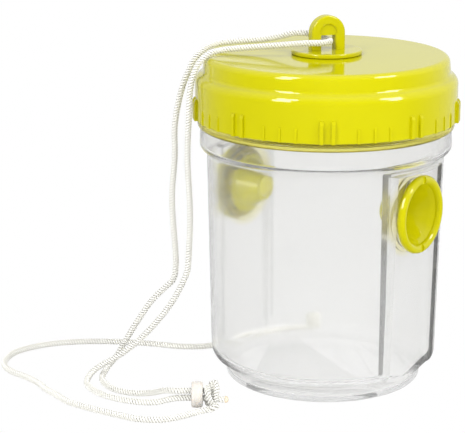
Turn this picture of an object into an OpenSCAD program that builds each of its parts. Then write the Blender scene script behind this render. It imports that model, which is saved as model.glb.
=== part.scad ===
// Hanging wasp trap: a clear screw-top jar with a funnel in each of two flat panels, a screw lid,
// a swivelling eye and a doubled cord with a bead and knots.
// The origin is the middle of the jar's foot, +Z is up and +X runs out through the right funnel.

/* [Jar] */
// Outer radius of the jar's wall just above the foot
body_r = 47.2; // [42:0.2:57]
// How much wider the wall is under the shoulder than at the foot
body_taper = 1.7; // [0:0.1:3]
// Height of the shoulder's underside above the foot's face
body_h = 95; // [90:1:116]
// Wall thickness of the jar
wall = 1.8; // [1.4:0.1:2.2]
// Thickness of the jar's floor
floor_t = 2; // [1.5:0.1:3]
// How far the foot stands in from the wall
foot_in = 6.2; // [4:0.1:7]
// Height at which the curve above the foot reaches the wall
step_h = 12.8; // [11:0.1:16]
// How far the shoulder stands out from the wall
shoulder_out = 3; // [2:0.1:5]
// Height of the shoulder, from its underside to the flange
shoulder_h = 11.8; // [9:0.1:16]
// How far the flange under the lid stands out from the shoulder
flange_out = 0.9; // [0.4:0.1:1.6]
// Thickness of the flange under the lid
flange_t = 3.3; // [2.4:0.1:4.5]
// How far the neck stands in from the flange's edge
neck_in = 3.5; // [3.2:0.1:4.5]
// Height of the neck above the flange
neck_h = 13.4; // [12.6:0.1:18]

/* [Panels] */
// Width of each flat panel
panel_w = 33; // [32.8:0.2:40]
// How far each panel's face lies in from the wall's outer radius
panel_in = 5.9; // [4.5:0.1:6.6]
// Drop from the shoulder's underside to the panel's top edge
panel_drop = 1; // [0.5:0.1:3]
// Height of the funnels' axis above the foot's face
funnel_z = 76; // [50:0.5:77]

/* [Funnels] */
// Outer radius of the funnel's neck, which the panel's boss holds
throat_r = 12.2; // [9:0.1:12.6]
// Outer radius of the funnel's rolled lip
lip_r = 16; // [15.2:0.1:16.3]
// Outer radius of the funnel's inner end
tip_r = 5.6; // [4.6:0.1:7]
// How far the funnel reaches in behind the panel's face
funnel_in = 10.8; // [6:0.1:16]
// How far the funnel's lip stands out from the panel's face
funnel_out = 6.9; // [6.7:0.1:9]
// Wall thickness of the funnel at its inner end
funnel_t = 1.3; // [1:0.1:1.6]
// How far the boss stands out from the panel's face
boss_h = 2.8; // [2.4:0.1:3.1]
// Gap all round between the funnel's neck and its boss
funnel_fit = 0.1; // [0.05:0.01:0.3]

/* [Lid] */
// Wall thickness of the lid
lid_t = 1.9; // [1.5:0.1:2.2]
// Height of the lid's crown above the ledge that the gasket seals on
crown_h = 11.9; // [10:0.1:16]
// How far the crown stands in from the skirt
crown_in = 3.15; // [2.6:0.05:3.8]
// Gap between the lid's skirt and the jar's flange
skirt_gap = 0.4; // [0.3:0.1:1]
// Number of groups of grip ribs
grip_groups = 9; // [6:1:10]
// How far the tall grip ribs stand out from the skirt
grip_out = 1.15; // [0.6:0.05:2]
// Height of the tall grip ribs
grip_h = 9.5; // [7:0.5:11]
// Thickness of the gasket
gasket_t = 0.9; // [0.6:0.1:1.5]

/* [Thread] */
// Rise of the lid in one turn
pitch = 5; // [4.8:0.1:5.6]
// Depth of the threads
thread_d = 2; // [1.7:0.1:2.2]
// Turns of thread on the neck
thread_turns = 1.5; // [1:0.05:1.55]

/* [Hanging eye] */
// Outer radius of the eye's base flange
eye_flange_r = 14.5; // [11:0.1:20]
// Thickness of the base flange
eye_flange_t = 1.8; // [1.4:0.1:2.6]
// Width of the eye's arch
arch_w = 14.6; // [13.6:0.1:18]
// Thickness of the arch
arch_t = 4.8; // [4:0.1:5.6]
// Height of the arch above the base flange
arch_h = 13.9; // [13:0.1:18]
// Width of the window in the arch
window_w = 6.2; // [5.6:0.1:7]
// Radius of the stem that turns in the lid
stem_r = 4; // [3:0.1:6]
// Running clearance of the stem in the lid's hole
stem_fit = 0.08; // [0.04:0.01:0.1]
// Turn of the arch about the jar's axis, from +Y
arch_turn = 57; // [0:1:90]

/* [Cord] */
// Diameter of the braided cord
cord_d = 2.8; // [2:0.1:2.9]
// Outer radius of the bead
bead_r = 5.4; // [5.1:0.05:5.4]
// Length of the bead
bead_l = 4.6; // [3:0.1:4.6]
// Turn of the cord about the jar's axis, from where it leaves towards -X
cord_turn = 37; // [0:1:90]

/* [Hidden] */
$fn = 96;

eps = 0.01;
// Gap left between faces of different pieces that lie on each other
face_gap = 0.1;
// Points on each quarter or so of an outline's arc
arc_n = 7;

// Jar
foot_r = body_r - foot_in;
foot_fillet = 2.4;
body_top_r = body_r + body_taper;
shoulder_r = body_top_r + shoulder_out;
// Height over which the shoulder swells out of the wall
shoulder_rise = 5.2;
flange_z = body_h + shoulder_h;
flange_top = flange_z + flange_t;
flange_r = shoulder_r + flange_out;
flange_edge = 1.5;
neck_r = flange_r - neck_in;
rim_z = flange_top + neck_h;
rim_edge = 0.5;
// Radius of the curve inside the shoulder's roof
roof_r = 1.6;

// Panels, and the boss on each of them
panel_x = body_r - panel_in;
panel_top = body_h - panel_drop;
bore_r = throat_r + funnel_fit;
boss_wall = 2.2;
boss_r = throat_r + boss_wall;
boss_bead = 0.5;
boss_foot_r = boss_r + 1.7;
boss_foot_h = 1.1;

// Funnels, measured along their axis from the panel's face
flare_x = boss_h + face_gap;
neck_wall = 1;
lip_roll = 1.8;
notch_w = 2.2;
notch_d = 0.9;

// Lid
skirt_clear = 0.6;
skirt_in_r = neck_r + thread_d + skirt_clear;
skirt_r = skirt_in_r + lid_t;
skirt_z = flange_top + skirt_gap;
ledge_z = rim_z + gasket_t + 2 * face_gap;
lid_top = ledge_z + crown_h;
crown_r = skirt_r - crown_in;
crown_in_r = crown_r - lid_t - 0.1;
crown_edge = 2.5;
crown_draft = 0.35;
// Shoulder of the lid: a round of this radius, met by a cove at this angle
lid_round = 4;
lid_round_z = ledge_z + 0.7;
cove_a = 62;
cove_r = (skirt_r - lid_round * (1 - cos(cove_a)) - crown_r) / (1 - cos(cove_a));
cove_z = lid_round_z + (lid_round + cove_r) * sin(cove_a);

// Grip ribs
tall_rib_a = 2.4;
tall_rib_w = 1.5;
fine_rib_a = [13, 20, 27];
fine_rib_w = 1;
fine_rib_out = 0.5;
fine_rib_drop = 3;
first_group_a = -55.2;

// Threads: half widths at root and crest, and how deep the root sinks into its wall
root_half = 1.1;
crest_half = 0.5;
root_sink = 0.4;
thread_steps = 40;
thread_z = flange_top + 3.5;
// Play between the lid's thread and the thread above it
thread_gap = 0.3;
lid_crest_r = skirt_in_r - (thread_d - 0.2);
thread_drop = root_half + crest_half - 0.2 + thread_gap;
lid_thread_start = 45;
lid_thread_turns = thread_turns - 0.1;

// Gasket
gasket_in_r = neck_r - wall + 0.2;
gasket_out_r = skirt_in_r - 0.6;

// Hanging eye
eye_z = lid_top + face_gap;
eye_flange_edge = 0.6;
arch_z = eye_z + eye_flange_t;
arch_r = arch_w / 2;
arch_mid_z = arch_z + arch_h - arch_r;
leg_w = (arch_w - window_w) / 2;
rim_w = 3.7;
arch_edge = 0.8;
web_t = arch_t - 1.4;
window_top = arch_z + 5.9;
// Snap head under the lid, and the slot that lets its two halves close
snap_r = stem_r + 0.9;
snap_z = lid_top - lid_t - 0.2;
snap_h = 3.2;
snap_nose_r = stem_r - 0.6;
snap_slot = 1.6;

// Cord, in a frame whose x runs to the eye's side and whose y runs behind it.
// The two strands start together in the eye's window and end in the knot.
cord_r = cord_d / 2;
window_point = [0.9, 0.3, 141.9];
window_turn = 20;
short_route = [window_point, [-1.9, 3.5, 142.7], [-6.5, 4, 144], [-12.5, 5, 144.2], [-19, 6.3, 142.6],
    [-26, 8.2, 141], [-37.5, 9.8, 139.9], [-43.5, 9.6, 139.2], [-47.6, 8.2, 138.3], [-51, 4.8, 136.5],
    [-53.9, 2, 134], [-56, 0.2, 130], [-58.9, -1.6, 122.9], [-62, -3, 108], [-62.2, -3, 94],
    [-63.5, -3, 76], [-62.2, -3, 46.5], [-63.4, -3, 41], [-67, -3, 37.4], [-72.3, -3, 32],
    [-77.9, -3, 23.7], [-83.3, -3, 14.8], [-87.6, -3.8, 7.4], [-91.6, -7, 3], [-93, -13.6, 1.5],
    [-91.2, -21.5, 1.5], [-86.5, -28.5, 1.5], [-79, -32.5, 1.5], [-71.5, -36.2, 3],
    [-65.8, -42, 6.2], [-61, -44.5, 7], [-48.2, -44.6, 7]];
long_route = [window_point, [0.7, -3.9, 141.9], [-2.4, -6.9, 142], [-8, -8.6, 142.2],
    [-20, -9, 141.4], [-34, -8, 140.2], [-43, -8.5, 139.3], [-48, -10.6, 138.1], [-51.4, -12, 135.3],
    [-53.8, -12.7, 131], [-55.4, -13.3, 124], [-56.1, -13.5, 111.7], [-56.7, -13.5, 96],
    [-55.8, -13.5, 73], [-56.3, -13.5, 58], [-57.2, -13.5, 47.5], [-58.8, -13.5, 43.5],
    [-63, -13.5, 35.3], [-69.9, -13.5, 26], [-78.5, -13.5, 16.9], [-87.3, -13.5, 10.2],
    [-93.8, -13.4, 6.5], [-97.8, -15, 3.4], [-99, -19.5, 1.6], [-96.6, -27.3, 1.5],
    [-90.3, -35.4, 1.5], [-80, -41.4, 1.5], [-70, -43.6, 1.7], [-61, -44.5, 3.8],
    [-48.2, -44.6, 3.9]];
tail_route = [[-48, -53.4, 2.4], [-53.1, -55.1, 1.7], [-59.5, -59.3, 1.5], [-66.5, -62.3, 1.5],
    [-75, -61.5, 1.5], [-84, -56.7, 1.5], [-95, -49.8, 1.5], [-105, -42, 1.5], [-111, -33.6, 1.5],
    [-115.2, -28, 1.5], [-119.2, -20.6, 1.5], [-125.5, -12.8, 1.5], [-131.5, -7, 1.5],
    [-135.6, 0, 1.5], [-136.2, 8, 1.5], [-133, 18, 1.5], [-125, 25.5, 1.5], [-112, 31, 1.5],
    [-94, 32.4, 1.5], [-76, 29.8, 1.5], [-60, 25.6, 1.5], [-48, 26.8, 1.5], [-30, 43.5, 1.5],
    [-16, 52, 1.5], [-4, 55.5, 1.5]];

// Bead and knots, in the cord's frame
bead_point = [-52.6, -44.6, 5.45];
bead_edge = 0.9;
strand_gap = 0.35;
strand_rise = 1.55;
knot_point = [-46.3, -46, 4.9];
knot_r = 3.7;
knob_r = 2.4;
top_knob = [-47, -42.8, 9.1];
front_knob = [-47, -53.6, 2.5];
stub_z = 3.8;
stub_l = 6.4;
stub_r = 1.6;
end_knot_r = 3.2;
end_knot_point = [-1.5, 55.8, 3.2];

// Points of an arc from angle a0 to a1, both ends included
function arc(c, r, a0, a1, n = arc_n) =
    [for (i = [0:n]) c + r * [cos(a0 + (a1 - a0) * i / n), sin(a0 + (a1 - a0) * i / n)]];

// Ogee from vertical at (r0, z0) to vertical at (r1, z1), moved in by t:
// two arcs of one radius and one angle, the first hollow and the second round
function ogee_angle(r0, z0, r1, z1) = 2 * atan((r1 - r0) / (z1 - z0));
function ogee_radius(r0, z0, r1, z1) = (z1 - z0) / 2 / sin(ogee_angle(r0, z0, r1, z1));
function ogee(r0, z0, r1, z1, t) =
    let (a = ogee_angle(r0, z0, r1, z1), r = ogee_radius(r0, z0, r1, z1))
    concat(arc([r0 + r, z0], r + t, 180, 180 - a), arc([r1 - r, z1], r - t, -a, 0));

// Body of revolution round the jar's axis from an outline of (radius, height)
module turned(outline) {
    rotate_extrude() polygon(outline);
}

// Body of revolution round a funnel's axis, from an outline of (radius, distance from the panel)
module turned_on_panel(outline) {
    translate([panel_x, 0, funnel_z]) rotate([0, 90, 0]) rotate_extrude() polygon(outline);
}

// Closed skin over rings of points that all have the same number of sides
module skin(rings) {
    sides = len(rings[0]);
    last = len(rings) - 1;
    corners = [for (ring = rings) each ring];
    walls = [for (i = [0:last - 1], k = [0:sides - 1])
        let (a = i * sides + k, b = i * sides + (k + 1) % sides)
        each [[a, a + sides, b], [b, a + sides, b + sides]]];
    first_cap = [for (k = [0:sides - 1]) k];
    last_cap = [for (k = [sides - 1:-1:0]) last * sides + k];
    polyhedron(corners, concat(walls, [first_cap, last_cap]), convexity = 10);
}

// Helical thread of the given turns. Its section is a trapezoid that stands on radius root
// and points to radius crest, and both ends fade into the wall.
module thread(root, crest, z, start, turns) {
    n = round(turns * thread_steps);
    out = sign(crest - root);
    fade = thread_steps / 8;
    skin([for (i = [0:n])
        let (
            a = start + 360 * turns * i / n,
            h = z + pitch * (a / 360),
            f = min(1, 0.15 + i / fade, 0.15 + (n - i) / fade),
            tip = root + (crest - root) * f,
            foot = root - out * root_sink,
            section = [[foot, -root_half], [tip, -crest_half], [tip, crest_half], [foot, root_half]],
            ordered = out < 0 ? section : [section[3], section[2], section[1], section[0]]
        )
        [for (s = ordered) [s[0] * cos(a), s[0] * sin(a), h + s[1]]]]);
}

// Directions along a route, with the first one given
function along(p, first) = [for (i = [0:len(p) - 1])
    i == 0 ? first : let (d = p[min(i + 1, len(p) - 1)] - p[i - 1]) d / norm(d)];

// Side vector for each direction, turned as little as possible from one to the next
function upright(v, t) = let (w = v - (v * t) * t) w / norm(w);
function sideways(t) = [for (i = 0, n = upright([0, 0, 1], t[0]); i < len(t);
    i = i + 1, n = upright(n, t[min(i, len(t) - 1)])) n];

// Round tube of eight sides along a route
module tube(route, first) {
    t = along(route, first);
    n = sideways(t);
    rotate([0, 0, cord_turn]) skin([for (i = [0:len(route) - 1])
        let (b = cross(t[i], n[i]))
        [for (k = [0:7]) route[i] + cord_r * (cos(45 * k) * n[i] + sin(45 * k) * b)]]);
}

// Rectangle with round corners, centred
module round_rect(w, h, r) {
    for (x = [-1, 1], y = [-1, 1])
        translate([x * (w / 2 - r), y * (h / 2 - r)]) circle(r);
    square([w - 2 * r, h], center = true);
    square([w, h - 2 * r], center = true);
}

// Outer and inner surfaces of the jar before its panels are pressed in
module jar_outside() {
    turned(concat(
        [[0, 0]],
        arc([foot_r - foot_fillet, foot_fillet], foot_fillet, -90, 0),
        ogee(foot_r, foot_fillet + 0.2, body_r, step_h, 0),
        ogee(body_top_r, body_h, shoulder_r, body_h + shoulder_rise, 0),
        [[shoulder_r - 0.3, flange_z]],
        arc([flange_r - flange_edge, flange_z + flange_edge], flange_edge, -70, 0, 5),
        arc([flange_r - flange_edge, flange_top - flange_edge], flange_edge, 0, 80, 5),
        [[neck_r, flange_top], [neck_r, rim_z - rim_edge], [neck_r - rim_edge, rim_z], [0, rim_z]]
    ));
}

module jar_inside() {
    inner_fillet = foot_fillet - 0.6;
    turned(concat(
        [[0, floor_t]],
        arc([foot_r - wall - inner_fillet, floor_t + inner_fillet], inner_fillet, -90, 0),
        ogee(foot_r, floor_t + foot_fillet + 0.2, body_r, step_h + 0.6, wall),
        ogee(body_top_r, body_h, shoulder_r, body_h + shoulder_rise, wall),
        arc([shoulder_r - wall - roof_r, flange_top - wall - roof_r], roof_r, 0, 90),
        [[neck_r - wall, flange_top - wall], [neck_r - wall, rim_z + 1], [0, rim_z + 1]]
    ));
}

// Space in front of the two panels, grown by t: what is pressed into the jar's wall
module pressed_in(t) {
    depth = 20;
    for (side = [-1, 1])
        translate([side * (panel_x - t + depth / 2), 0, (panel_top + t) / 2 - 1])
            cube([depth, panel_w + 2 * t, panel_top + t + 2], center = true);
}

// Boss round a funnel's hole: a round foot, then a tube with a bead at its end
module boss() {
    turned_on_panel(concat(
        [[bore_r - 1, -wall / 2], [boss_foot_r - 0.4, -wall / 2], [boss_foot_r, 0]],
        arc([boss_foot_r - boss_foot_h / 2, boss_foot_h / 2], boss_foot_h / 2, -60, 90, 5),
        [[boss_r, boss_foot_h], [boss_r, boss_h - 2.6 * boss_bead]],
        arc([boss_r, boss_h - 1.3 * boss_bead], boss_bead, -90, 90, 5),
        [[boss_r - 0.3, boss_h], [bore_r - 1, boss_h]]
    ));
}

module jar() {
    color([0.88, 0.89, 0.88, 0.5]) difference() {
        union() {
            difference() {
                jar_outside();
                pressed_in(0);
                difference() {
                    jar_inside();
                    pressed_in(wall);
                }
            }
            thread(neck_r, neck_r + thread_d, thread_z, 0, thread_turns);
            boss();
            mirror([1, 0, 0]) boss();
        }
        for (side = [-1, 1])
            translate([side * panel_x, 0, funnel_z]) rotate([0, 90, 0])
                cylinder(r = bore_r, h = 2 * (boss_h + wall), center = true);
    }
}

// Grip rib on the skirt: it stands upright and its top slopes back into the skirt
module rib(angle, w, out, h) {
    slope = 1.8;
    rotate([0, 0, angle]) rotate([90, 0, 0]) linear_extrude(w, center = true)
        polygon([[skirt_r - 1, skirt_z], [skirt_r + out - 0.25, skirt_z],
            [skirt_r + out, skirt_z + 0.25], [skirt_r + out, skirt_z + h - slope],
            [skirt_r + out / 2, skirt_z + h - slope / 3], [skirt_r - 1, skirt_z + h]]);
}

module lid() {
    color("gold") difference() {
        union() {
            turned(concat(
                [[0, lid_top]],
                arc([crown_r - crown_draft - crown_edge, lid_top - crown_edge], crown_edge, 90, 0),
                arc([crown_r + cove_r, cove_z], cove_r, 180, 180 + cove_a),
                arc([skirt_r - lid_round, lid_round_z], lid_round, cove_a, 0),
                [[skirt_r + 0.1, skirt_z + 0.3], [skirt_r - 0.2, skirt_z], [skirt_in_r, skirt_z],
                    [skirt_in_r, ledge_z], [crown_in_r, ledge_z]],
                arc([crown_in_r - 1.4, lid_top - lid_t - 1.4], 1.4, 0, 90),
                [[0, lid_top - lid_t]]
            ));
            thread(skirt_in_r, lid_crest_r, thread_z - thread_drop, lid_thread_start,
                lid_thread_turns);
            for (g = [0:grip_groups - 1]) {
                a = first_group_a + g * 360 / grip_groups;
                rib(a - tall_rib_a, tall_rib_w, grip_out, grip_h);
                rib(a + tall_rib_a, tall_rib_w, grip_out, grip_h);
                for (f = fine_rib_a)
                    rib(a + f * 9 / grip_groups, fine_rib_w, fine_rib_out, grip_h - fine_rib_drop);
            }
        }
        translate([0, 0, lid_top - lid_t - 1]) cylinder(r = stem_r + stem_fit, h = lid_t + 2);
    }
}

module lid_gasket() {
    color("whitesmoke") translate([0, 0, rim_z + face_gap]) difference() {
        cylinder(r = gasket_out_r, h = gasket_t);
        translate([0, 0, -1]) cylinder(r = gasket_in_r, h = gasket_t + 2);
    }
}

// Arch of the eye: two legs, a round rim over them and a thinner web inside the rim
module arch() {
    for (side = [-1, 1])
        translate([side * (arch_r - leg_w / 2), 0, arch_z - 1])
            linear_extrude(arch_mid_z - arch_z + 1) round_rect(leg_w, arch_t, arch_edge);
    translate([0, 0, arch_mid_z]) rotate([90, 0, 0]) rotate_extrude(angle = 180)
        translate([arch_r - rim_w / 2, 0]) round_rect(rim_w, arch_t, arch_edge);
    rotate([90, 0, 0]) linear_extrude(web_t, center = true) {
        translate([0, arch_mid_z]) intersection() {
            circle(arch_r - 1);
            translate([-arch_r, 0]) square([arch_w, arch_r]);
        }
        translate([-arch_r + 1, window_top])
            square([arch_w - 2, arch_mid_z - window_top + eps]);
    }
}

module hanger_eye() {
    color("gold") {
        rotate([0, 0, arch_turn]) arch();
        turned(concat(
            [[0, eye_z], [eye_flange_r - eye_flange_edge, eye_z]],
            arc([eye_flange_r - eye_flange_edge, eye_z + eye_flange_edge], eye_flange_edge, -90, 0),
            arc([eye_flange_r - eye_flange_edge, arch_z - eye_flange_edge], eye_flange_edge, 0, 90),
            [[0, arch_z]]
        ));
        rotate([0, 0, arch_turn]) difference() {
            union() {
                translate([0, 0, snap_z - eps]) cylinder(r = stem_r, h = eye_z - snap_z + 0.5);
                turned([[0, snap_z], [snap_r, snap_z], [snap_r, snap_z - 0.6],
                    [snap_nose_r, snap_z - snap_h], [0, snap_z - snap_h]]);
            }
            translate([-snap_slot / 2, -snap_r - 1, snap_z - snap_h - 1])
                cube([snap_slot, 2 * snap_r + 2, snap_h + 1.6]);
        }
    }
}

// Funnel on the right panel: neck and lip outside, and a cone inside from the mouth to the tip
module funnel() {
    mouth_x = funnel_out - lip_roll;
    mouth_r = lip_r - 2 * lip_roll;
    throat_in_r = throat_r - neck_wall;
    tip_in_r = tip_r - funnel_t;
    color("gold") difference() {
        turned_on_panel(concat(
            [[tip_in_r, -funnel_in], [tip_r, -funnel_in], [throat_r - 1.6, -wall - 0.6],
                [throat_r - 0.3, -wall - 0.5], [throat_r, -wall], [throat_r, flare_x]],
            arc([lip_r - lip_roll, mouth_x], lip_roll, -120, 170, 14),
            [[mouth_r, mouth_x - 0.4], [throat_in_r, flare_x]]
        ));
        for (side = [-1, 1])
            translate([panel_x + funnel_out - notch_d + 1, 0, funnel_z + side * (lip_r - lip_roll)])
                cube([2, notch_w, 4 * lip_roll], center = true);
    }
}

module funnel_right() {
    funnel();
}

module funnel_left() {
    mirror([1, 0, 0]) funnel();
}

// The strands leave the window square to the arch, one behind it and one before it
module cord_short() {
    color("ivory") tube(short_route, [-sin(window_turn), cos(window_turn), 0]);
}

module cord_long() {
    color("ivory") tube(long_route, [sin(window_turn), -cos(window_turn), 0]);
}

module cord_tail() {
    start = tail_route[1] - tail_route[0];
    color("ivory") tube(tail_route, start / norm(start));
}

// Bead on both strands, with a slot that lets it slide along them
module cord_bead() {
    slot_r = cord_r + strand_gap;
    color("linen") rotate([0, 0, cord_turn]) translate(bead_point) rotate([0, 90, 0])
        difference() {
            rotate_extrude() polygon(concat(
                [[0, -bead_l / 2]],
                arc([bead_r - bead_edge, bead_edge - bead_l / 2], bead_edge, -90, 0),
                arc([bead_r - bead_edge, bead_l / 2 - bead_edge], bead_edge, 0, 90),
                [[0, bead_l / 2]]
            ));
            linear_extrude(bead_l + 2, center = true) {
                for (side = [-1, 1]) translate([side * strand_rise, 0]) circle(slot_r);
                square([2 * strand_rise, 2 * slot_r], center = true);
            }
        }
}

// Knot that joins the strands: a body, two bights that stand out and one sealed stub
module cord_knot() {
    color("ivory") rotate([0, 0, cord_turn]) {
        translate(knot_point) sphere(knot_r);
        translate(top_knob) sphere(knob_r);
        translate(front_knob) sphere(knob_r);
        translate([knot_point[0], front_knob[1], front_knob[2] + 0.3]) rotate([-90, 0, 0])
            cylinder(r = knob_r - 0.4, h = knot_point[1] - front_knob[1]);
        translate([knot_point[0], knot_point[1], stub_z]) rotate([0, 90, 0])
            cylinder(r = stub_r, h = stub_l - stub_r);
        translate([knot_point[0] + stub_l - stub_r, knot_point[1], stub_z]) sphere(stub_r);
    }
}

// Stopper knot at the cord's free end
module cord_end_knot() {
    color("ivory") rotate([0, 0, cord_turn]) {
        translate(end_knot_point) sphere(end_knot_r);
        translate([end_knot_point[0], end_knot_point[1], stub_r]) rotate([0, 90, 0])
            cylinder(r = stub_r - 0.1, h = 1.8 * end_knot_r);
    }
}

jar();
lid();
lid_gasket();
hanger_eye();
funnel_right();
funnel_left();
cord_short();
cord_long();
cord_tail();
cord_bead();
cord_knot();
cord_end_knot();
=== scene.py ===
import math

import bpy
import numpy as np
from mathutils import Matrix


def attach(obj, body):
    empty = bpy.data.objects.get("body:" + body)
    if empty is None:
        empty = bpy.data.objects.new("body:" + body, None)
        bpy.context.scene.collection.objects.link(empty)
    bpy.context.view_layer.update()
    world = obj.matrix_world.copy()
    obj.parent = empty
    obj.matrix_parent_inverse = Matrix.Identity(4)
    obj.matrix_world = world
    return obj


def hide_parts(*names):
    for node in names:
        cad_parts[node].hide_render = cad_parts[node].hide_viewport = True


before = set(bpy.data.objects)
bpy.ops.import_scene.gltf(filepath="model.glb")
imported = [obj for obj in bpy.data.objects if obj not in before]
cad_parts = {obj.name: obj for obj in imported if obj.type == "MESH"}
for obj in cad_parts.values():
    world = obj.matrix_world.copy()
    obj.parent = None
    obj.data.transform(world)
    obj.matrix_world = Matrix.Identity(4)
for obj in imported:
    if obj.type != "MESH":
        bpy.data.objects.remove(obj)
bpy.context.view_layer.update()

MM = 0.001
CORD_TURN = math.radians(37)   # turn about Z of the cord's own frame, and of the camera
CORD_D = 2.8 * MM
CORD_R = CORD_D / 2

# Places on the jar where the yellow of the lid and the funnels is painted in as reflections: its flange's
# height, the funnels' axis, and the radius and nearest side of a boss
FLANGE_Z = (106.9 * MM, 110.4 * MM)
FUNNEL_Z = 76 * MM
BOSS_R = 17 * MM
PANEL_X = 38.5 * MM

# Routes of the cord in millimetres, x to the eye's side and y behind it: the same points as the CAD part's
WINDOW = [0.9, 0.3, 141.9]
SHORT_ROUTE = [WINDOW, [-1.9, 3.5, 142.7], [-6.5, 4, 144], [-12.5, 5, 144.2], [-19, 6.3, 142.6],
    [-26, 8.2, 141], [-37.5, 9.8, 139.9], [-43.5, 9.6, 139.2], [-47.6, 8.2, 138.3], [-51, 4.8, 136.5],
    [-53.9, 2, 134], [-56, 0.2, 130], [-58.9, -1.6, 122.9], [-62, -3, 108], [-62.2, -3, 94],
    [-63.5, -3, 76], [-62.2, -3, 46.5], [-63.4, -3, 41], [-67, -3, 37.4], [-72.3, -3, 32],
    [-77.9, -3, 23.7], [-83.3, -3, 14.8], [-87.6, -3.8, 7.4], [-91.6, -7, 3], [-93, -13.6, 1.5],
    [-91.2, -21.5, 1.5], [-86.5, -28.5, 1.5], [-79, -32.5, 1.5], [-71.5, -36.2, 3],
    [-65.8, -42, 6.2], [-61, -44.5, 7], [-48.2, -44.6, 7]]
LONG_ROUTE = [WINDOW, [0.7, -3.9, 141.9], [-2.4, -6.9, 142], [-8, -8.6, 142.2],
    [-20, -9, 141.4], [-34, -8, 140.2], [-43, -8.5, 139.3], [-48, -10.6, 138.1], [-51.4, -12, 135.3],
    [-53.8, -12.7, 131], [-55.4, -13.3, 124], [-56.1, -13.5, 111.7], [-56.7, -13.5, 96],
    [-55.8, -13.5, 73], [-56.3, -13.5, 58], [-57.2, -13.5, 47.5], [-58.8, -13.5, 43.5],
    [-63, -13.5, 35.3], [-69.9, -13.5, 26], [-78.5, -13.5, 16.9], [-87.3, -13.5, 10.2],
    [-93.8, -13.4, 6.5], [-97.8, -15, 3.4], [-99, -19.5, 1.6], [-96.6, -27.3, 1.5],
    [-90.3, -35.4, 1.5], [-80, -41.4, 1.5], [-70, -43.6, 1.7], [-61, -44.5, 3.8],
    [-48.2, -44.6, 3.9]]
TAIL_ROUTE = [[-48, -53.4, 2.4], [-53.1, -55.1, 1.7], [-59.5, -59.3, 1.5], [-66.5, -62.3, 1.5],
    [-75, -61.5, 1.5], [-84, -56.7, 1.5], [-95, -49.8, 1.5], [-105, -42, 1.5], [-111, -33.6, 1.5],
    [-115.2, -28, 1.5], [-119.2, -20.6, 1.5], [-125.5, -12.8, 1.5], [-131.5, -7, 1.5],
    [-135.6, 0, 1.5], [-136.2, 8, 1.5], [-133, 18, 1.5], [-125, 25.5, 1.5], [-112, 31, 1.5],
    [-94, 32.4, 1.5], [-76, 29.8, 1.5], [-60, 25.6, 1.5], [-48, 26.8, 1.5], [-30, 43.5, 1.5],
    [-16, 52, 1.5], [-4, 55.5, 1.5]]

# Routes inside the knots, in the same frame. The short strand ends in the stub and the long one
# makes the turns, the bight on top and the bight in front that the tail leaves by.
STUB_ROUTE = [[-48.9, -44.6, 7], [-47.4, -45, 6.2], [-45.6, -45.8, 4.6], [-43.6, -46, 3.9], [-40.9, -46, 3.8]]
KNOT_ROUTE = [[-48.9, -44.6, 3.9], [-47.4, -44.2, 5.2], [-46.9, -42.9, 7.4], [-46.8, -42.4, 9.2],
    [-45.4, -43.2, 9.9], [-44.7, -44.9, 8.6], [-45, -46.4, 6.2], [-46, -46.9, 3], [-47.8, -45.4, 1.7],
    [-48.5, -42.9, 3], [-48.5, -42.8, 6.2], [-48.4, -45.6, 8.4], [-48.2, -49, 7.4], [-47.3, -50.2, 4.6],
    [-45.9, -50.2, 2.6], [-44.8, -51.9, 3.2], [-45, -53.9, 4.1], [-46.2, -54.9, 3.4], [-48, -53.6, 2.3]]
END_KNOT_AT = [-1.5, 55.8, 3.4]
END_KNOT_SCALE = 0.82


# --- helpers -------------------------------------------------------------------------------------

def to_part(points):
    """Cord-frame millimetres to part-frame metres: a turn of CORD_TURN about Z."""
    p = np.asarray(points, float) * MM
    c, s = math.cos(CORD_TURN), math.sin(CORD_TURN)
    return np.stack([c * p[:, 0] - s * p[:, 1], s * p[:, 0] + c * p[:, 1], p[:, 2]], axis=1)


def smooth(points, step):
    """Centripetal Catmull-Rom curve through the points, sampled again at equal steps of arc length."""
    fine = 40   # points worked out between two of the given ones, before the even steps
    p = np.asarray(points, float)
    p = np.vstack([2 * p[0] - p[1], p, 2 * p[-1] - p[-2]])
    knots = np.concatenate([[0], np.cumsum(np.sqrt(np.linalg.norm(np.diff(p, axis=0), axis=1)))])
    parts = []
    for i in range(1, len(p) - 2):
        t0, t1, t2, t3 = knots[i - 1:i + 3]
        t = np.linspace(t1, t2, fine, endpoint=False)[:, None]
        a1 = (t1 - t) / (t1 - t0) * p[i - 1] + (t - t0) / (t1 - t0) * p[i]
        a2 = (t2 - t) / (t2 - t1) * p[i] + (t - t1) / (t2 - t1) * p[i + 1]
        a3 = (t3 - t) / (t3 - t2) * p[i + 1] + (t - t2) / (t3 - t2) * p[i + 2]
        b1 = (t2 - t) / (t2 - t0) * a1 + (t - t0) / (t2 - t0) * a2
        b2 = (t3 - t) / (t3 - t1) * a2 + (t - t1) / (t3 - t1) * a3
        parts.append((t2 - t) / (t2 - t1) * b1 + (t - t1) / (t2 - t1) * b2)
    line = np.vstack(parts + [p[-2:-1]])
    along = np.concatenate([[0], np.cumsum(np.linalg.norm(np.diff(line, axis=0), axis=1))])
    at = np.linspace(0, along[-1], max(int(round(along[-1] / step)), 2) + 1)
    return np.stack([np.interp(at, along, line[:, k]) for k in range(3)], axis=1)


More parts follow.
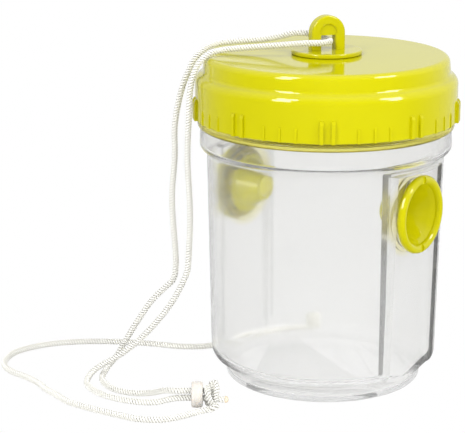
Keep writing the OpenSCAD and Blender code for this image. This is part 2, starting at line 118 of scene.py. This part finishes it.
def rings_frame(path):
    """Tangents, normals and binormals along path, without twist: each ring's normal is the one before it,
    made square to the new tangent."""
    off_line = [0.3, 0.2, 1.0]   # a direction that no cord sets out along
    tangent = np.gradient(path, axis=0)
    tangent /= np.linalg.norm(tangent, axis=1)[:, None]
    normal = np.empty_like(tangent)
    n = np.cross(tangent[0], off_line)
    for i, t in enumerate(tangent):
        n = n - t * (n @ t)
        n = n / math.sqrt(n @ n)
        normal[i] = n
    return tangent, normal, np.cross(tangent, normal)


def mesh_piece(name, verts, faces, mat, uv=None, depth=None):
    """A mesh object at the origin from arrays; uv and the attribute of painted groove shade have one value
    per vertex.
    """
    mesh = bpy.data.meshes.new(name)
    faces = faces.tolist() if isinstance(faces, np.ndarray) else faces
    mesh.from_pydata(np.asarray(verts).tolist(), [], faces)
    mesh.update()
    if uv is not None:
        layer = mesh.uv_layers.new(name="UVMap")
        loops = np.empty(len(mesh.loops), np.int32)
        mesh.loops.foreach_get("vertex_index", loops)
        layer.data.foreach_set("uv", np.asarray(uv, np.float32)[loops].ravel())
    if depth is not None:
        stored = mesh.attributes.new("depth", "FLOAT", "POINT")
        stored.data.foreach_set("value", np.asarray(depth, np.float32))
    mesh.polygons.foreach_set("use_smooth", np.full(len(mesh.polygons), True))
    piece = bpy.data.objects.new(name, mesh)
    bpy.context.scene.collection.objects.link(piece)
    piece.data.materials.append(mat)
    return piece


def grid_faces(rows, columns, closed, first=0):
    """Quads of a rows x columns grid of vertices; closed joins the last column to the first."""
    r = np.arange(rows - 1)[:, None]
    c = np.arange(columns if closed else columns - 1)[None, :]
    a = r * columns + c
    b = r * columns + (c + 1) % columns
    return first + np.stack([a, b, b + columns, a + columns], axis=-1).reshape(-1, 4)


# --- shader groups and materials -----------------------------------------------------------------

def group(name, inputs, outputs):
    """An empty shader group with named sockets; inputs map a name to its default."""
    tree = bpy.data.node_groups.new(name, "ShaderNodeTree")
    for label, value in inputs.items():
        kind = "NodeSocketColor" if isinstance(value, tuple) else "NodeSocketFloat"
        tree.interface.new_socket(label, in_out="INPUT", socket_type=kind).default_value = value
    for label, kind in outputs.items():
        tree.interface.new_socket(label, in_out="OUTPUT", socket_type=kind)
    return tree, tree.nodes.new("NodeGroupInput"), tree.nodes.new("NodeGroupOutput")


def math_node(tree, operation, *values):
    """A math node; each value is a number or an output socket."""
    node = tree.nodes.new("ShaderNodeMath")
    node.operation = operation
    for socket, value in zip(node.inputs, values):
        if isinstance(value, (int, float)):
            socket.default_value = value
        else:
            tree.links.new(value, socket)
    return node.outputs[0]


def mix_colour(tree, factor, low, high):
    """Colour mix; factor, low and high are values or output sockets. Of a colour mix's sockets, 0 is Factor,
    6 is A and 7 is B, and output 2 is Result."""
    node = tree.nodes.new("ShaderNodeMix")
    node.data_type = "RGBA"
    for key, value in ((0, factor), (6, low), (7, high)):
        if isinstance(value, (int, float, tuple)):
            node.inputs[key].default_value = value
        else:
            tree.links.new(value, node.inputs[key])
    return node.outputs[2]


def noise(tree, vector, scale, detail=3.0):
    """Noise at vector; scale is a number or an output socket."""
    node = tree.nodes.new("ShaderNodeTexNoise")
    node.inputs["Detail"].default_value = detail
    tree.links.new(vector, node.inputs["Vector"])
    if isinstance(scale, (int, float)):
        node.inputs["Scale"].default_value = scale
    else:
        tree.links.new(scale, node.inputs["Scale"])
    return node.outputs["Fac"]


SCUFF_STRETCH = (1500, 1500, 110)   # fine across, and long along Z
SCUFF_FROM = 0.71                   # the streaks above this value show
SCUFF_ROUGH = 0.2
SCUFF_DEPTH = 0.5


def make_moulding():
    """Moulded plastic: a slow mottle, a fine skin of orange peel, and faint scuffs stretched along Z."""
    tree, given, out = group(
        "moulded_skin",
        {"Mottle Scale": 40.0, "Peel Scale": 900.0, "Scuff": 0.3, "Low": (1, 1, 1, 1), "High": (1, 1, 1, 1),
         "Rough Low": 0.1, "Rough High": 0.2},
        {"Color": "NodeSocketColor", "Roughness": "NodeSocketFloat", "Height": "NodeSocketFloat"},
    )
    place = tree.nodes.new("ShaderNodeTexCoord").outputs["Object"]
    mottle = noise(tree, place, given.outputs["Mottle Scale"])
    peel = noise(tree, place, given.outputs["Peel Scale"], 1.0)
    squash = tree.nodes.new("ShaderNodeMapping")
    squash.inputs["Scale"].default_value = SCUFF_STRETCH
    tree.links.new(place, squash.inputs["Vector"])
    streak = noise(tree, squash.outputs[0], 1.0, 2.0)
    shown = math_node(tree, "GREATER_THAN", streak, SCUFF_FROM)
    scuff = math_node(tree, "MULTIPLY", shown, given.outputs["Scuff"])
    tree.links.new(mix_colour(tree, mottle, given.outputs["Low"], given.outputs["High"]), out.inputs["Color"])
    span = math_node(tree, "SUBTRACT", given.outputs["Rough High"], given.outputs["Rough Low"])
    rough = math_node(tree, "ADD", given.outputs["Rough Low"], math_node(tree, "MULTIPLY", mottle, span))
    rubbed = math_node(tree, "MULTIPLY", scuff, SCUFF_ROUGH)
    tree.links.new(math_node(tree, "ADD", rough, rubbed), out.inputs["Roughness"])
    scratch = math_node(tree, "MULTIPLY", scuff, SCUFF_DEPTH)
    tree.links.new(math_node(tree, "SUBTRACT", peel, scratch), out.inputs["Height"])
    return tree


MOULDING = make_moulding()


def material(name):
    """A material with its node tree and Principled shader."""
    m = bpy.data.materials.new(name)
    m.use_nodes = True
    return m, m.node_tree, m.node_tree.nodes["Principled BSDF"]


def bump(tree, height, strength, distance, shader):
    """A bump from height into the shader's normal; distance is in metres."""
    node = tree.nodes.new("ShaderNodeBump")
    node.inputs["Strength"].default_value = strength
    node.inputs["Distance"].default_value = distance
    tree.links.new(height, node.inputs["Height"])
    tree.links.new(node.outputs[0], shader.inputs["Normal"])


def moulding_node(tree, low, high, rough, mottle, scuff):
    """The moulded skin placed in a material, with its two colours and its range of roughness."""
    skin = tree.nodes.new("ShaderNodeGroup")
    skin.node_tree = MOULDING
    skin.inputs["Low"].default_value = (*low, 1)
    skin.inputs["High"].default_value = (*high, 1)
    skin.inputs["Rough Low"].default_value, skin.inputs["Rough High"].default_value = rough
    skin.inputs["Mottle Scale"].default_value = mottle
    skin.inputs["Scuff"].default_value = scuff
    return skin


def moulded(name, low, high, rough, peel, mottle=40.0, scuff=0.3):
    """A moulded plastic from its two colours, its range of roughness and the depth of its skin."""
    m, tree, shader = material(name)
    skin = moulding_node(tree, low, high, rough, mottle, scuff)
    tree.links.new(skin.outputs["Color"], shader.inputs["Base Color"])
    tree.links.new(skin.outputs["Roughness"], shader.inputs["Roughness"])
    bump(tree, skin.outputs["Height"], 0.5, peel, shader)
    return m, shader


def yellow_plastic():
    """Glossy yellow of the lid, the eye and the funnels."""
    low, high = (0.445, 0.415, 0.0008), (0.48, 0.45, 0.0012)
    m, shader = moulded("glossy_yellow", low, high, (0.05, 0.09), 0.008 * MM)
    shader.inputs["IOR"].default_value = 1.5
    return m


def within(tree, value, low, high, blur):
    """1 where value is between low and high, and 0 outside, with soft ends of width blur."""
    ends = []
    for edge, sign in ((low, 1), (high, -1)):
        ramp = tree.nodes.new("ShaderNodeMapRange")
        ramp.inputs["From Min"].default_value = edge - sign * blur / 2
        ramp.inputs["From Max"].default_value = edge + sign * blur / 2
        tree.links.new(value, ramp.inputs["Value"])
        ends.append(ramp.outputs["Result"])
    return math_node(tree, "MULTIPLY", *ends)


# Painted reflection of the yellow lid's skirt in the clear flange: its colour, and how much of it is mixed in
FLANGE_PAINTED_YELLOW = (0.84, 0.78, 0.16, 1)
FLANGE_PAINTED_AMOUNT = 0.9
# Painted reflection of the yellow funnels in the clear bosses round them: its colour, and how much of it is
# mixed in
BOSS_PAINTED_YELLOW = (0.90, 0.84, 0.40, 1)
BOSS_PAINTED_AMOUNT = 0.6
FAR = 1.0   # metres, past every point of the jar


def clear_plastic():
    """Clear plastic, a little milky, with painted yellow where yellow parts show in it: a painted reflection
    of the lid's skirt in the flange under it, and a painted reflection of the funnels in the bosses round
    them."""
    m, tree, shader = material("clear_jar")
    skin = moulding_node(tree, (0.865, 0.865, 0.86), (0.89, 0.89, 0.885), (0.11, 0.16), 25.0, 0.15)
    place = tree.nodes.new("ShaderNodeSeparateXYZ")
    tree.links.new(tree.nodes.new("ShaderNodeTexCoord").outputs["Object"], place.inputs[0])
    x, y, z = place.outputs
    # The flange's band, where the lid's yellow is painted in as a reflection
    flange_reflection = within(tree, z, FLANGE_Z[0], FLANGE_Z[1], 0.4 * MM)
    # The bosses round the funnels, where the funnels' yellow is painted in as a reflection
    up = math_node(tree, "SUBTRACT", z, FUNNEL_Z)
    squares = math_node(tree, "ADD", math_node(tree, "MULTIPLY", y, y), math_node(tree, "MULTIPLY", up, up))
    off_axis = math_node(tree, "SQRT", squares)
    boss_reflection = math_node(tree, "MULTIPLY", within(tree, off_axis, -FAR, BOSS_R, 3 * MM),
                          within(tree, math_node(tree, "ABSOLUTE", x), PANEL_X, FAR, 1.5 * MM))
    boss_reflection = math_node(tree, "MULTIPLY", boss_reflection, BOSS_PAINTED_AMOUNT)
    # The painted reflection of the funnels, mixed into the plastic's own colour
    with_painted_yellow = mix_colour(tree, boss_reflection, skin.outputs["Color"], BOSS_PAINTED_YELLOW)
    # The painted reflection of the lid, mixed into the flange
    with_painted_yellow = mix_colour(tree, math_node(tree, "MULTIPLY", flange_reflection, FLANGE_PAINTED_AMOUNT), with_painted_yellow, FLANGE_PAINTED_YELLOW)
    tree.links.new(with_painted_yellow, shader.inputs["Base Color"])
    tree.links.new(skin.outputs["Roughness"], shader.inputs["Roughness"])
    bump(tree, skin.outputs["Height"], 0.5, 0.01 * MM, shader)
    shader.inputs["Transmission Weight"].default_value = 0.95
    shader.inputs["IOR"].default_value = 1.2
    return m


def gasket_rubber():
    """Matt white seal under the lid."""
    m, _ = moulded("white_gasket", (0.78, 0.77, 0.72), (0.84, 0.83, 0.79), (0.45, 0.6), 0.05 * MM)
    return m


def ivory_plastic():
    """Smooth ivory of the bead, which lets a little light in."""
    m, shader = moulded("ivory_bead", (0.60, 0.565, 0.52), (0.66, 0.63, 0.585), (0.28, 0.4), 0.03 * MM, 300.0)
    shader.inputs["Subsurface Weight"].default_value = 0.15
    shader.inputs["Subsurface Radius"].default_value = (0.002, 0.0015, 0.001)
    shader.inputs["Subsurface Scale"].default_value = 1.0
    return m


def cord_fibre():
    """Cream yarn: fine filaments along each strand from the UV map, with painted shade down in the grooves
    and on the yarns that lie underneath.
    """
    m, tree, shader = material("cream_cord")
    uv = tree.nodes.new("ShaderNodeTexCoord").outputs["UV"]
    stretch = tree.nodes.new("ShaderNodeMapping")
    stretch.inputs["Scale"].default_value = (1.5, 14.0, 1.0)
    tree.links.new(uv, stretch.inputs["Vector"])
    filament = noise(tree, stretch.outputs[0], 1.0, 2.0)
    soil = noise(tree, tree.nodes.new("ShaderNodeTexCoord").outputs["Object"], 60.0)
    depth = tree.nodes.new("ShaderNodeAttribute")
    depth.attribute_name = "depth"
    yarn = mix_colour(tree, filament, (0.82, 0.82, 0.78, 1), (0.94, 0.935, 0.91, 1))
    aged = mix_colour(tree, math_node(tree, "MULTIPLY", soil, 0.15), yarn, (0.85, 0.81, 0.70, 1))
    # Painted shade: the yarn goes towards a dark colour where the attribute is low, in the grooves and under
    # the other yarns
    groove_shaded = mix_colour(tree, depth.outputs["Fac"], (0.46, 0.45, 0.40, 1), aged)
    tree.links.new(groove_shaded, shader.inputs["Base Color"])
    shader.inputs["Roughness"].default_value = 0.72
    shader.inputs["Sheen Weight"].default_value = 0.35
    shader.inputs["Sheen Roughness"].default_value = 0.4
    bump(tree, filament, 0.6, 0.06 * MM, shader)
    return m


def melted_tip():
    """Cord end that was sealed with a flame."""
    m, _ = moulded("melted_tip", (0.60, 0.50, 0.36), (0.72, 0.62, 0.47), (0.2, 0.35), 0.1 * MM, 900.0)
    return m


# --- braided cord --------------------------------------------------------------------------------

CARRIERS = 3           # yarns that turn each way
PITCH = 3.45 * MM      # cord length that one yarn takes to go round once
YARN_W = 1.0 * MM
YARN_T = 0.56 * MM
YARN_WAVE = 0.06 * MM
HAND_STEP = 0.12 * MM  # one hand's yarns lie this much out, the other's in, which makes the slanting ribs
YARN_RISE = CORD_R - YARN_T / 2 - YARN_WAVE - HAND_STEP
YARN_SIDE_IN = 0.12    # share of YARN_T by which a yarn's two side corners lie in from its middle
UV_PER_PITCH = 6
CORE_SIDES = 8
CORE_IN = 0.3          # share of YARN_T by which the core lies in from the yarns' middle

# The attribute of painted shade, from 0 in a groove to 1 on a crest: its mean on the crest of a yarn of each
# hand, lower for the
# # yarns that lie underneath, how much it swings over the wave, and the share of it that the yarn's side
# corners
# # have
CREST_SHADE = {1: (0.80, 0.20), -1: (0.34, 0.12)}
SIDE_SHADE = 0.4
CORNER_V = [0.5, 0.9, 0.5, 0.1]   # place across the yarn, in the UV map, of its section's four corners


def braid(name, path, mat):
    """Braided cord along path. Yarn k of hand h, which is 1 or -1, is at angle h 2 pi s / PITCH plus its own
    share of a turn, where s is the length along path, and at radius
    YARN_RISE + h (HAND_STEP + YARN_WAVE cos(CARRIERS angle)), so the yarns of hand 1 lie on top.
    A yarn's section is a kite, YARN_W wide and YARN_T thick, and a round core fills the middle."""
    tangent, normal, binormal = rings_frame(path)
    step = np.linalg.norm(path[1] - path[0])
    s = step * np.arange(len(path))
    verts, uvs, depths, faces = [], [], [], []
    for hand in (1, -1):
        for k in range(CARRIERS):
            angle = hand * 2 * np.pi * s / PITCH + 2 * np.pi * (k + (hand < 0) * 0.5) / CARRIERS
            ride = hand * np.cos(CARRIERS * angle)
            out = np.cos(angle)[:, None] * normal + np.sin(angle)[:, None] * binormal
            proud = HAND_STEP * hand
            centre = path + out * (YARN_RISE + proud + YARN_WAVE * ride)[:, None]
            run = np.gradient(centre, axis=0)
            run /= np.linalg.norm(run, axis=1)[:, None]
            side = np.cross(run, out)
            side /= np.linalg.norm(side, axis=1)[:, None]
            sides = centre - out * YARN_T * YARN_SIDE_IN
            ring = np.stack([centre + out * YARN_T / 2, sides + side * YARN_W / 2,
                             centre - out * YARN_T / 2, sides - side * YARN_W / 2], axis=1)
            first = sum(len(v) for v in verts)
            verts.append(ring.reshape(-1, 3))
            across = np.tile(CORNER_V, len(s)) + k
            uvs.append(np.stack([np.repeat(s / PITCH * UV_PER_PITCH, 4), across], axis=1))
            # Painted shade for the section's four corners: lightest on a crest, less on the sides, none
            # underneath, and less for the yarns that lie under
            mean, swing = CREST_SHADE[hand]
            high = mean + swing * ride
            depths.append(np.stack([high, SIDE_SHADE * high, 0 * high, SIDE_SHADE * high], axis=1).ravel())
            faces.append(grid_faces(len(s), 4, True, first)[:, ::-1])
            last = first + 4 * (len(s) - 1)
            faces.append(np.array([[first, first + 1, first + 2, first + 3],
                                   [last + 3, last + 2, last + 1, last]]))
    core_r = YARN_RISE - YARN_T * CORE_IN
    turn = np.arange(CORE_SIDES) * (2 * np.pi / CORE_SIDES)
    # Every other ring is enough for the core, where that still takes in the last one
    thin = slice(None, None, 2) if len(path) % 2 else slice(None)
    core_path, core_n, core_b = path[thin], normal[thin], binormal[thin]
    spokes = np.cos(turn)[None, :, None] * core_n[:, None] + np.sin(turn)[None, :, None] * core_b[:, None]
    core = core_path[:, None] + core_r * spokes
    first = sum(len(v) for v in verts)
    verts.append(core.reshape(-1, 3))
    uvs.append(np.zeros((CORE_SIDES * len(core_path), 2)))
    depths.append(np.zeros(CORE_SIDES * len(core_path)))
    faces.append(grid_faces(len(core_path), CORE_SIDES, True, first))
    last = first + CORE_SIDES * (len(core_path) - 1)
    quads = [tuple(f) for f in np.vstack(faces).tolist()]
    quads += [tuple(range(first + CORE_SIDES - 1, first - 1, -1)), tuple(range(last, last + CORE_SIDES))]
    return mesh_piece(name, np.vstack(verts), quads, mat, np.vstack(uvs), np.concatenate(depths))


# --- bead and melted tip -------------------------------------------------------------------------

BEAD_AT = [-52.6, -44.6, 5.45]   # its middle, in the cord's frame
BEAD_HALF = 2.3 * MM             # half its length
BEAD_R = 5.38 * MM
BEAD_EDGE = 0.8 * MM             # radius of its rounded rims
BEAD_SWELL = 0.12 * MM
BEAD_GROOVE = 0.13 * MM
GROOVE_AT = 0.42                 # place of the ring groove, as a share of the half length
GROOVE_W = 0.16 * MM
BORE_GAP = 0.3 * MM              # room round the two strands
STRAND_RISE = 1.55 * MM          # how far each strand's middle lies above or below the bead's
BORE_FLARE = 0.35 * MM           # how much wider the bore is at its ends
BEAD_COLUMNS = 72


def cord_axes():
    """The direction along the knot's end of the cord, and the level direction square to it."""
    along = to_part([[1, 0, 0]])[0]
    along /= np.linalg.norm(along)
    return along, np.cross([0, 0, 1], along)


def bead_surface(mat):
    """Barrel on the two strands. Its outline is a straight side that swells by a cosine and has a ring groove
    near one end, between two quarter rounds of BEAD_EDGE, and it is turned about the line of the strands.
    The bore is a stadium that holds both strands, and widens towards its ends by the sixth power."""
    at = to_part([BEAD_AT])[0]
    along, across = cord_axes()
    turn = np.linspace(0, 2 * np.pi, BEAD_COLUMNS, endpoint=False)
    slot_r = CORD_R + BORE_GAP
    c, s = np.abs(np.cos(turn)), np.abs(np.sin(turn))
    flat = slot_r / np.maximum(c, 1e-6)
    cap = STRAND_RISE * s + np.sqrt(np.maximum(slot_r ** 2 - (STRAND_RISE * c) ** 2, 0))
    bore = np.where(flat * s <= STRAND_RISE, flat, cap)
    rim = np.linspace(0, np.pi / 2, 7)
    straight = BEAD_HALF - BEAD_EDGE
    mid = np.linspace(-straight, straight, 15)
    swell = BEAD_SWELL * np.cos(np.pi * mid / (2 * straight))
    groove = BEAD_GROOVE * np.exp(-((mid - BEAD_HALF * GROOVE_AT) / GROOVE_W) ** 2)
    side_r = BEAD_R - BEAD_SWELL
    outline = [(side_r - BEAD_EDGE + BEAD_EDGE * np.sin(a), -straight - BEAD_EDGE * np.cos(a)) for a in rim]
    outline += list(zip(side_r + swell - groove, mid))
    outline += [(side_r - BEAD_EDGE + BEAD_EDGE * np.cos(a), straight + BEAD_EDGE * np.sin(a)) for a in rim]
    rows = [(np.full_like(turn, r), x) for r, x in outline]
    inside = np.linspace(BEAD_HALF, -BEAD_HALF, 7)
    rows += [(bore + BORE_FLARE * (abs(x) / BEAD_HALF) ** 6, x) for x in inside]
    level, up = np.cos(turn), np.sin(turn)
    verts = np.vstack([at + along * x + np.outer(r * level, across) + np.outer(r * up, [0, 0, 1])
                       for r, x in rows])
    # The last row of the bore joins the first row of the outline
    last = (len(rows) - 1) * BEAD_COLUMNS
    column = np.arange(BEAD_COLUMNS)
    after = (column + 1) % BEAD_COLUMNS
    closing = np.stack([last + column, last + after, after, column], axis=1)
    faces = np.vstack([grid_faces(len(rows), BEAD_COLUMNS, True), closing])
    return mesh_piece("bead_barrel", verts, faces, mat)


TIP_R = 1.42 * MM
TIP_IN = 0.5 * MM      # how far the melted end starts back over the stub
TIP_L = 1.5 * MM
TIP_TAPER = 0.12
TIP_POINT = 0.02 * MM  # radius that is left at the very end, so that the last ring isn't a point
TIP_ROWS = 14
TIP_COLUMNS = 28


def tip_surface(mat):
    """Melted end of the stub: an egg along the stub, with a radius that shrinks by the fourth power towards
    its end, and uneven round about by two cosines."""
    at = to_part([STUB_ROUTE[-1]])[0]
    along, across = cord_axes()
    t = np.linspace(0, 1, TIP_ROWS)
    turn = np.linspace(0, 2 * np.pi, TIP_COLUMNS, endpoint=False)
    r = TIP_R * np.sqrt(np.maximum(1 - t ** 4, 0)) * (1 - TIP_TAPER * t)
    r[-1] = TIP_POINT
    x = TIP_L * t - TIP_IN
    lump = 1 + 0.05 * np.cos(3 * turn + 1) + 0.03 * np.cos(5 * turn)
    ring = r[:, None] * lump[None, :]
    level = (ring * np.cos(turn))[..., None] * across
    up = (ring * np.sin(turn))[..., None] * np.array([0, 0, 1.0])
    verts = at + x[:, None, None] * along + level + up
    last = (TIP_ROWS - 1) * TIP_COLUMNS
    quads = [tuple(f) for f in grid_faces(TIP_ROWS, TIP_COLUMNS, True).tolist()]
    quads += [tuple(range(TIP_COLUMNS - 1, -1, -1)), tuple(range(last, last + TIP_COLUMNS))]
    return mesh_piece("stub_tip", verts.reshape(-1, 3), quads, mat)


# --- camera, floor, light ------------------------------------------------------------------------

STAGE_HALF = 6.0                  # half the side of the floor
LAMPS_ABOUT_Z = 0.1               # height on the trap that the softboxes stand round
WALL_SIDE = (-0.38, 0.62, 0.68)   # towards the bright side of the studio: up, and away from the camera
DIM_FROM, BRIGHT_TO = -0.35, 0.75   # how far towards WALL_SIDE the dim part ends, and the bright part starts
DIM = 0.14
BRIGHT = 0.9
THROUGH_DIM = 0.93                # what shows through the clear plastic
INSIDE_LIFT = 1.75                # more light for what is inside or behind the clear plastic


def camera():
    """Long lens from the front right and a little above."""
    data = bpy.data.cameras.new("camera")
    data.lens = 139.3
    data.sensor_width = 36
    data.clip_start = 0.05
    view = bpy.data.objects.new("camera", data)
    view.location = (0.4063, -0.6029, 0.2622)
    view.rotation_euler = (math.radians(75.0), 0, CORD_TURN)
    bpy.context.scene.collection.objects.link(view)
    bpy.context.scene.camera = view


def floor():
    """White stage: it glows evenly for the camera and through the jar, scatters light, and isn't mirrored."""
    m, tree, shader = material("white_floor")
    grain = noise(tree, tree.nodes.new("ShaderNodeTexCoord").outputs["Object"], 30.0)
    white = mix_colour(tree, grain, (0.80, 0.80, 0.80, 1), (0.84, 0.84, 0.84, 1))
    tree.links.new(white, shader.inputs["Base Color"])
    shader.inputs["Roughness"].default_value = 0.9
    glow = tree.nodes.new("ShaderNodeEmission")
    rays = tree.nodes.new("ShaderNodeLightPath")
    either = math_node(tree, "MAXIMUM", rays.outputs["Is Camera Ray"], rays.outputs["Is Transmission Ray"])
    mix = tree.nodes.new("ShaderNodeMixShader")
    tree.links.new(either, mix.inputs["Fac"])
    tree.links.new(shader.outputs[0], mix.inputs[1])
    tree.links.new(glow.outputs[0], mix.inputs[2])
    tree.links.new(mix.outputs[0], tree.nodes["Material Output"].inputs["Surface"])
    corners = [(-STAGE_HALF, -STAGE_HALF, 0), (STAGE_HALF, -STAGE_HALF, 0),
               (STAGE_HALF, STAGE_HALF, 0), (-STAGE_HALF, STAGE_HALF, 0)]
    plane = mesh_piece("floor", corners, [(0, 1, 2, 3)], m)
    plane.visible_glossy = False


def softbox(name, azimuth, elevation, distance, width, height, power):
    """An area light that faces the trap, azimuth degrees to the right of the camera as seen from the trap."""
    data = bpy.data.lights.new(name, "AREA")
    data.shape = "RECTANGLE"
    data.size, data.size_y, data.energy = width, height, power
    turn = CORD_TURN - math.pi / 2 + math.radians(azimuth)
    rise = math.radians(elevation)
    lamp = bpy.data.objects.new(name, data)
    lamp.location = (distance * math.cos(rise) * math.cos(turn), distance * math.cos(rise) * math.sin(turn),
                     LAMPS_ABOUT_Z + distance * math.sin(rise))
    lamp.rotation_euler = (math.pi / 2 - rise, 0, turn + math.pi / 2)
    bpy.context.scene.collection.objects.link(lamp)


def studio():
    """White behind and above the trap, and dim before it, for what the trap mirrors and is lit by. The camera
    sees white all round, and rays that have gone through the clear plastic see nearly that. Two softboxes
    and a front fill light the trap."""
    world = bpy.data.worlds.new("studio")
    world.use_nodes = True
    tree = world.node_tree
    direction = tree.nodes.new("ShaderNodeTexCoord").outputs["Generated"]
    dot = tree.nodes.new("ShaderNodeVectorMath")
    dot.operation = "DOT_PRODUCT"
    tree.links.new(direction, dot.inputs[0])
    dot.inputs[1].default_value = WALL_SIDE
    ramp = tree.nodes.new("ShaderNodeMapRange")
    ramp.interpolation_type = "SMOOTHSTEP"
    ramp.inputs["From Min"].default_value = DIM_FROM
    ramp.inputs["From Max"].default_value = BRIGHT_TO
    ramp.inputs["To Min"].default_value = DIM
    ramp.inputs["To Max"].default_value = BRIGHT
    tree.links.new(dot.outputs["Value"], ramp.inputs["Value"])
    rays = tree.nodes.new("ShaderNodeLightPath")
    through = math_node(tree, "MINIMUM", rays.outputs["Transmission Depth"], 1.0)
    behind = math_node(tree, "MULTIPLY", through, THROUGH_DIM)
    seen = math_node(tree, "MAXIMUM", rays.outputs["Is Camera Ray"], behind)
    outside = math_node(tree, "MAXIMUM", seen, ramp.outputs["Result"])
    scattered = math_node(tree, "MINIMUM", rays.outputs["Diffuse Depth"], 1.0)
    lift = math_node(tree, "MULTIPLY", math_node(tree, "MULTIPLY", scattered, through), INSIDE_LIFT)
    strength = math_node(tree, "ADD", outside, lift)
    tree.links.new(strength, tree.nodes["Background"].inputs["Strength"])
    tree.nodes["Background"].inputs["Color"].default_value = (1, 1, 1, 1)
    bpy.context.scene.world = world
    bpy.context.scene.view_settings.view_transform = "Standard"
    softbox("left_softbox", -43, 38, 1.3, 0.34, 0.6, 9)
    softbox("right_softbox", 64, 38, 1.3, 0.36, 0.6, 9)
    softbox("front_fill", 5, 14, 2.5, 2.0, 1.0, 40)
    bpy.data.objects["front_fill"].visible_glossy = False


# --- build ---------------------------------------------------------------------------------------

camera()
cream = cord_fibre()
STEP = 0.2   # millimetres between the rings of a cord
loop = smooth(SHORT_ROUTE[:0:-1] + LONG_ROUTE, STEP)
split = int(np.argmin(np.linalg.norm(loop - np.array(WINDOW), axis=1)))
short_path = to_part(loop[split::-1])
long_path = to_part(loop[split:])
tail_path = to_part(smooth(TAIL_ROUTE, STEP))


short_strand = braid("short_strand", short_path, cream)
long_strand = braid("long_strand", long_path, cream)
tail_strand = braid("tail_strand", tail_path, cream)
bead = bead_surface(ivory_plastic())
knot = braid("knot_turns", to_part(smooth(KNOT_ROUTE, STEP)), cream)
stub = braid("knot_stub", to_part(smooth(STUB_ROUTE, STEP)), cream)
tip = tip_surface(melted_tip())
# The stopper knot is a trefoil: x = sin t + 2 sin 2t, y = cos t - 2 cos 2t, z = -2 sin 3t
t = np.linspace(0.35, 2 * np.pi + 0.15, 15)
turns = np.stack([np.sin(t) + 2 * np.sin(2 * t), np.cos(t) - 2 * np.cos(2 * t), -2 * np.sin(3 * t)], axis=1)
trefoil = np.array(END_KNOT_AT) + END_KNOT_SCALE * turns
end_knot = braid("end_knot_turns", to_part(smooth(trefoil, STEP)), cream)

for piece in (short_strand, long_strand, tail_strand, knot, stub, tip, end_knot):
    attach(piece, "hanger")
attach(bead, "bead")
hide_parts("cord_short")
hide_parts("cord_long")
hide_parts("cord_tail")
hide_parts("cord_bead")
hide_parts("cord_knot")
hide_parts("cord_end_knot")

yellow = yellow_plastic()
looks = {"jar": clear_plastic(), "lid_gasket": gasket_rubber(),
         "lid": yellow, "hanger_eye": yellow, "funnel_right": yellow, "funnel_left": yellow}
for node, look in looks.items():
    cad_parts[node].data.materials.clear()
    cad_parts[node].data.materials.append(look)

floor()
studio()
